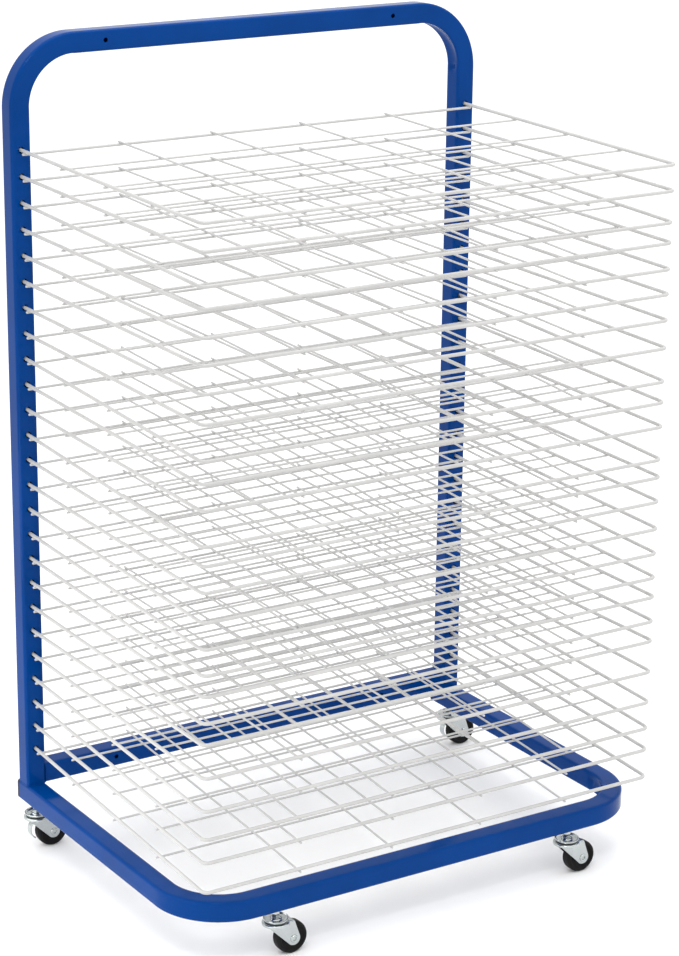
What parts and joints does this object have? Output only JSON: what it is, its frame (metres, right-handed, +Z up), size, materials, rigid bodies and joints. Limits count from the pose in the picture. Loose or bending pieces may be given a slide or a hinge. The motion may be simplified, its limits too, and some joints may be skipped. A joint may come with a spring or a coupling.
{
  "type": "art drying rack",
  "caption": "Upright drying rack for artwork: a bent square-tube frame on swivel castors carrying a close stack of wire shelves that hinge up from hook holes in the uprights.",
  "frame": {"origin": "on the floor, under the middle of the bounding box", "axes": "+Z up, X across the rack, +Y from its open front to its back frame"},
  "size_m": [0.8576, 0.559, 1.273],
  "materials": {
    "blue_paint": "gloss powder coat",
    "white_coat": "satin powder coat",
    "zinc": "bright zinc plate",
    "black_plastic": "matt moulded plastic"
  },
  "bodies": {
    "frame": {"back_frame": "blue_paint", "rear_crossbar": "blue_paint", "base_frame": "blue_paint", "left_rail_plug": "black_plastic", "right_rail_plug": "black_plastic", "front_left_castor_stem": "zinc", "front_left_castor_race": "zinc", "front_right_castor_stem": "zinc", "front_right_castor_race": "zinc", "rear_left_castor_stem": "zinc", "rear_left_castor_race": "zinc", "rear_right_castor_stem": "zinc", "rear_right_castor_race": "zinc"},
    "shelf_01": {"shelf_01": "white_coat"},
    "shelf_02": {"shelf_02": "white_coat"},
    "shelf_03": {"shelf_03": "white_coat"},
    "shelf_04": {"shelf_04": "white_coat"},
    "shelf_05": {"shelf_05": "white_coat"},
    "shelf_06": {"shelf_06": "white_coat"},
    "shelf_07": {"shelf_07": "white_coat"},
    "shelf_08": {"shelf_08": "white_coat"},
    "shelf_09": {"shelf_09": "white_coat"},
    "shelf_10": {"shelf_10": "white_coat"},
    "shelf_11": {"shelf_11": "white_coat"},
    "shelf_12": {"shelf_12": "white_coat"},
    "shelf_13": {"shelf_13": "white_coat"},
    "shelf_14": {"shelf_14": "white_coat"},
    "shelf_15": {"shelf_15": "white_coat"},
    "shelf_16": {"shelf_16": "white_coat"},
    "shelf_17": {"shelf_17": "white_coat"},
    "shelf_18": {"shelf_18": "white_coat"},
    "shelf_19": {"shelf_19": "white_coat"},
    "shelf_20": {"shelf_20": "white_coat"},
    "shelf_21": {"shelf_21": "white_coat"},
    "shelf_22": {"shelf_22": "white_coat"},
    "shelf_23": {"shelf_23": "white_coat"},
    "shelf_24": {"shelf_24": "white_coat"},
    "shelf_25": {"shelf_25": "white_coat"},
    "front_left_castor_fork": {"front_left_castor_fork": "zinc", "front_left_castor_axle": "zinc"},
    "front_left_castor_wheel": {"front_left_castor_wheel": "black_plastic"},
    "front_right_castor_fork": {"front_right_castor_fork": "zinc", "front_right_castor_axle": "zinc"},
    "front_right_castor_wheel": {"front_right_castor_wheel": "black_plastic"},
    "rear_left_castor_fork": {"rear_left_castor_fork": "zinc", "rear_left_castor_axle": "zinc"},
    "rear_left_castor_wheel": {"rear_left_castor_wheel": "black_plastic"},
    "rear_left_castor_brake": {"rear_left_castor_brake": "zinc"},
    "rear_right_castor_fork": {"rear_right_castor_fork": "zinc", "rear_right_castor_axle": "zinc"},
    "rear_right_castor_wheel": {"rear_right_castor_wheel": "black_plastic"},
    "rear_right_castor_brake": {"rear_right_castor_brake": "zinc"}
  },
  "joints": [
    {"name": "shelf_01_lift", "type": "hinge", "parent": "frame", "child": "shelf_01", "pos_m": [-0.01425, 0.24625, 1.1161], "axis": [-1, 0, 0], "range_deg": [0, 71.4]},
    {"name": "shelf_02_lift", "type": "hinge", "parent": "frame", "child": "shelf_02", "pos_m": [-0.01425, 0.24625, 1.07694], "axis": [-1, 0, 0], "range_deg": [0, 71.3]},
    {"name": "shelf_03_lift", "type": "hinge", "parent": "frame", "child": "shelf_03", "pos_m": [-0.01425, 0.24625, 1.03778], "axis": [-1, 0, 0], "range_deg": [0, 72.1]},
    {"name": "shelf_04_lift", "type": "hinge", "parent": "frame", "child": "shelf_04", "pos_m": [-0.01425, 0.24625, 0.99861], "axis": [-1, 0, 0], "range_deg": [0, 71.1]},
    {"name": "shelf_05_lift", "type": "hinge", "parent": "frame", "child": "shelf_05", "pos_m": [-0.01425, 0.24625, 0.95945], "axis": [-1, 0, 0], "range_deg": [0, 71.1]},
    {"name": "shelf_06_lift", "type": "hinge", "parent": "frame", "child": "shelf_06", "pos_m": [-0.01425, 0.24625, 0.92029], "axis": [-1, 0, 0], "range_deg": [0, 70.9]},
    {"name": "shelf_07_lift", "type": "hinge", "parent": "frame", "child": "shelf_07", "pos_m": [-0.01425, 0.24625, 0.88113], "axis": [-1, 0, 0], "range_deg": [0, 70.9]},
    {"name": "shelf_08_lift", "type": "hinge", "parent": "frame", "child": "shelf_08", "pos_m": [-0.01425, 0.24625, 0.84196], "axis": [-1, 0, 0], "range_deg": [0, 71.2]},
    {"name": "shelf_09_lift", "type": "hinge", "parent": "frame", "child": "shelf_09", "pos_m": [-0.01425, 0.24625, 0.8028], "axis": [-1, 0, 0], "range_deg": [0, 72.5]},
    {"name": "shelf_10_lift", "type": "hinge", "parent": "frame", "child": "shelf_10", "pos_m": [-0.01425, 0.24625, 0.76364], "axis": [-1, 0, 0], "range_deg": [0, 71.7]},
    {"name": "shelf_11_lift", "type": "hinge", "parent": "frame", "child": "shelf_11", "pos_m": [-0.01425, 0.24625, 0.72447], "axis": [-1, 0, 0], "range_deg": [0, 71.5]},
    {"name": "shelf_12_lift", "type": "hinge", "parent": "frame", "child": "shelf_12", "pos_m": [-0.01425, 0.24625, 0.68531], "axis": [-1, 0, 0], "range_deg": [0, 72.8]},
    {"name": "shelf_13_lift", "type": "hinge", "parent": "frame", "child": "shelf_13", "pos_m": [-0.01425, 0.24625, 0.64615], "axis": [-1, 0, 0], "range_deg": [0, 71.5]},
    {"name": "shelf_14_lift", "type": "hinge", "parent": "frame", "child": "shelf_14", "pos_m": [-0.01425, 0.24625, 0.60699], "axis": [-1, 0, 0], "range_deg": [0, 71.4]},
    {"name": "shelf_15_lift", "type": "hinge", "parent": "frame", "child": "shelf_15", "pos_m": [-0.01425, 0.24625, 0.56783], "axis": [-1, 0, 0], "range_deg": [0, 71.8]},
    {"name": "shelf_16_lift", "type": "hinge", "parent": "frame", "child": "shelf_16", "pos_m": [-0.01425, 0.24625, 0.52866], "axis": [-1, 0, 0], "range_deg": [0, 71.8]},
    {"name": "shelf_17_lift", "type": "hinge", "parent": "frame", "child": "shelf_17", "pos_m": [-0.01425, 0.24625, 0.4895], "axis": [-1, 0, 0], "range_deg": [0, 71.7]},
    {"name": "shelf_18_lift", "type": "hinge", "parent": "frame", "child": "shelf_18", "pos_m": [-0.01425, 0.24625, 0.45034], "axis": [-1, 0, 0], "range_deg": [0, 70.8]},
    {"name": "shelf_19_lift", "type": "hinge", "parent": "frame", "child": "shelf_19", "pos_m": [-0.01425, 0.24625, 0.41118], "axis": [-1, 0, 0], "range_deg": [0, 70.8]},
    {"name": "shelf_20_lift", "type": "hinge", "parent": "frame", "child": "shelf_20", "pos_m": [-0.01425, 0.24625, 0.37201], "axis": [-1, 0, 0], "range_deg": [0, 70]},
    {"name": "shelf_21_lift", "type": "hinge", "parent": "frame", "child": "shelf_21", "pos_m": [-0.01425, 0.24625, 0.33285], "axis": [-1, 0, 0], "range_deg": [0, 71.2]},
    {"name": "shelf_22_lift", "type": "hinge", "parent": "frame", "child": "shelf_22", "pos_m": [-0.01425, 0.24625, 0.29369], "axis": [-1, 0, 0], "range_deg": [0, 72.4]},
    {"name": "shelf_23_lift", "type": "hinge", "parent": "frame", "child": "shelf_23", "pos_m": [-0.01425, 0.24625, 0.25453], "axis": [-1, 0, 0], "range_deg": [0, 72.8]},
    {"name": "shelf_24_lift", "type": "hinge", "parent": "frame", "child": "shelf_24", "pos_m": [-0.01425, 0.24625, 0.21536], "axis": [-1, 0, 0], "range_deg": [0, 72.4]},
    {"name": "shelf_25_lift", "type": "hinge", "parent": "frame", "child": "shelf_25", "pos_m": [-0.01425, 0.24625, 0.1762], "axis": [-1, 0, 0], "range_deg": [0, 73.1]},
    {"name": "front_left_castor_swivel", "type": "hinge", "parent": "frame", "child": "front_left_castor_fork", "pos_m": [-0.27625, -0.25275, 0.0548], "axis": [0, 0, 1], "continuous": true},
    {"name": "front_left_castor_roll", "type": "hinge", "parent": "front_left_castor_fork", "child": "front_left_castor_wheel", "pos_m": [-0.25225, -0.25275, 0.025], "axis": [0, 1, 0], "continuous": true},
    {"name": "front_right_castor_swivel", "type": "hinge", "parent": "frame", "child": "front_right_castor_fork", "pos_m": [0.24775, -0.25275, 0.0548], "axis": [0, 0, 1], "continuous": true},
    {"name": "front_right_castor_roll", "type": "hinge", "parent": "front_right_castor_fork", "child": "front_right_castor_wheel", "pos_m": [0.27175, -0.25275, 0.025], "axis": [0, 1, 0], "continuous": true},
    {"name": "rear_left_castor_swivel", "type": "hinge", "parent": "frame", "child": "rear_left_castor_fork", "pos_m": [-0.40825, 0.24925, 0.0548], "axis": [0, 0, 1], "continuous": true},
    {"name": "rear_left_castor_roll", "type": "hinge", "parent": "rear_left_castor_fork", "child": "rear_left_castor_wheel", "pos_m": [-0.38425, 0.24925, 0.025], "axis": [0, 1, 0], "continuous": true},
    {"name": "rear_left_castor_brake_press", "type": "hinge", "parent": "rear_left_castor_fork", "child": "rear_left_castor_brake", "pos_m": [-0.40725, 0.24925, 0.0465], "axis": [0, -1, 0], "range_deg": [0, 6]},
    {"name": "rear_right_castor_swivel", "type": "hinge", "parent": "frame", "child": "rear_right_castor_fork", "pos_m": [0.37975, 0.24925, 0.0548], "axis": [0, 0, 1], "continuous": true},
    {"name": "rear_right_castor_roll", "type": "hinge", "parent": "rear_right_castor_fork", "child": "rear_right_castor_wheel", "pos_m": [0.40375, 0.24925, 0.025], "axis": [0, 1, 0], "continuous": true},
    {"name": "rear_right_castor_brake_press", "type": "hinge", "parent": "rear_right_castor_fork", "child": "rear_right_castor_brake", "pos_m": [0.38075, 0.24925, 0.0465], "axis": [0, -1, 0], "range_deg": [0, 6]}
  ],
  "couplings": [
    {"joint": "shelf_01_lift", "follows": "shelf_25_lift", "ratio": 0.9767},
    {"joint": "shelf_02_lift", "follows": "shelf_25_lift", "ratio": 0.9753},
    {"joint": "shelf_03_lift", "follows": "shelf_25_lift", "ratio": 0.9863},
    {"joint": "shelf_04_lift", "follows": "shelf_25_lift", "ratio": 0.9726},
    {"joint": "shelf_05_lift", "follows": "shelf_25_lift", "ratio": 0.9726},
    {"joint": "shelf_06_lift", "follows": "shelf_25_lift", "ratio": 0.9699},
    {"joint": "shelf_07_lift", "follows": "shelf_25_lift", "ratio": 0.9699},
    {"joint": "shelf_08_lift", "follows": "shelf_25_lift", "ratio": 0.974},
    {"joint": "shelf_09_lift", "follows": "shelf_25_lift", "ratio": 0.9917},
    {"joint": "shelf_10_lift", "follows": "shelf_25_lift", "ratio": 0.9808},
    {"joint": "shelf_11_lift", "follows": "shelf_25_lift", "ratio": 0.9781},
    {"joint": "shelf_12_lift", "follows": "shelf_25_lift", "ratio": 0.9958},
    {"joint": "shelf_13_lift", "follows": "shelf_25_lift", "ratio": 0.9781},
    {"joint": "shelf_14_lift", "follows": "shelf_25_lift", "ratio": 0.9767},
    {"joint": "shelf_15_lift", "follows": "shelf_25_lift", "ratio": 0.9822},
    {"joint": "shelf_16_lift", "follows": "shelf_25_lift", "ratio": 0.9822},
    {"joint": "shelf_17_lift", "follows": "shelf_25_lift", "ratio": 0.9808},
    {"joint": "shelf_18_lift", "follows": "shelf_25_lift", "ratio": 0.9685},
    {"joint": "shelf_19_lift", "follows": "shelf_25_lift", "ratio": 0.9685},
    {"joint": "shelf_20_lift", "follows": "shelf_25_lift", "ratio": 0.9575},
    {"joint": "shelf_21_lift", "follows": "shelf_25_lift", "ratio": 0.974},
    {"joint": "shelf_22_lift", "follows": "shelf_25_lift", "ratio": 0.9904},
    {"joint": "shelf_23_lift", "follows": "shelf_25_lift", "ratio": 0.9958},
    {"joint": "shelf_24_lift", "follows": "shelf_25_lift", "ratio": 0.9904}
  ]
}
